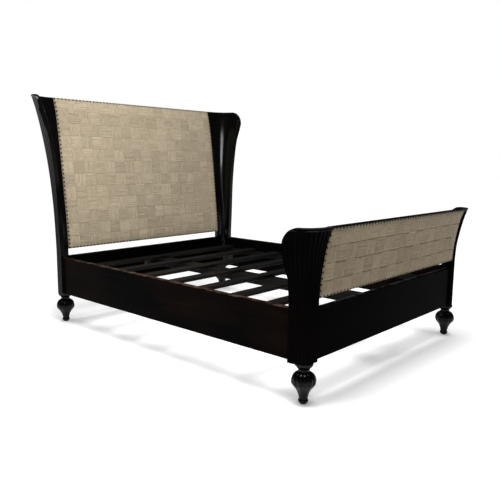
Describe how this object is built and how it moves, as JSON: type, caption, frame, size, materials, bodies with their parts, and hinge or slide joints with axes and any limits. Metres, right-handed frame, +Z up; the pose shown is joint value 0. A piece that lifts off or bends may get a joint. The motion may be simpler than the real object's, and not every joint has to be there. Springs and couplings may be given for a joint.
{
  "type": "sleigh bed",
  "caption": "Queen sleigh bed in ebonised wood with curved fluted corner posts, turned carved feet, slat base and nailhead-trimmed woven upholstered head and foot panels.",
  "frame": {"origin": "centre of the overall box, at the floor", "axes": "+Y from the footboard to the headboard, +X to the right of someone lying on the bed face down with the head at +Y, +Z up"},
  "size_m": [1.8926, 2.348, 1.535],
  "materials": {
    "ebonised_wood": "polished lacquer, faint reddish rub-through at the edges",
    "base_timber": "dark stain, dull",
    "panel_core": "raw plywood",
    "woven_upholstery": "tan basket weave of wide woven strips",
    "nailhead": "dark antique",
    "bracket_steel": "black powder coat",
    "screw_steel": "zinc plated",
    "glide_nylon": "matt"
  },
  "bodies": {
    "root": {"beam_hanger_foot": "bracket_steel", "beam_hanger_head": "bracket_steel", "centre_beam": "base_timber", "corner_block_foot_left": "ebonised_wood", "corner_block_foot_right": "ebonised_wood", "corner_block_head_left": "ebonised_wood", "corner_block_head_right": "ebonised_wood", "corner_bracket_bolts": "screw_steel", "corner_bracket_foot_left": "bracket_steel", "corner_bracket_foot_right": "bracket_steel", "corner_bracket_head_left": "bracket_steel", "corner_bracket_head_right": "bracket_steel", "foot_glides": "glide_nylon", "foot_hanger_bolts": "screw_steel", "foot_head_left": "ebonised_wood", "foot_head_right": "ebonised_wood", "foot_tail_left": "ebonised_wood", "foot_tail_right": "ebonised_wood", "footboard_bottom_cap": "ebonised_wood", "footboard_core": "panel_core", "footboard_inner_panel": "ebonised_wood", "footboard_nailheads": "nailhead", "footboard_pad": "woven_upholstery", "footboard_post_left": "ebonised_wood", "footboard_post_right": "ebonised_wood", "footboard_rail": "ebonised_wood", "footboard_top_cap": "ebonised_wood", "headboard_back_panel": "ebonised_wood", "headboard_bottom_cap": "ebonised_wood", "headboard_core": "panel_core", "headboard_nailheads": "nailhead", "headboard_pad": "woven_upholstery", "headboard_post_left": "ebonised_wood", "headboard_post_right": "ebonised_wood", "headboard_rail": "ebonised_wood", "headboard_top_cap": "ebonised_wood", "side_rail_left": "ebonised_wood", "side_rail_right": "ebonised_wood", "slat_1": "base_timber", "slat_2": "base_timber", "slat_3": "base_timber", "slat_4": "base_timber", "slat_5": "base_timber", "slat_6": "base_timber", "slat_7": "base_timber", "slat_8": "base_timber", "slat_ledger_left": "base_timber", "slat_ledger_right": "base_timber", "slat_screws": "screw_steel"}
  },
  "joints": []
}
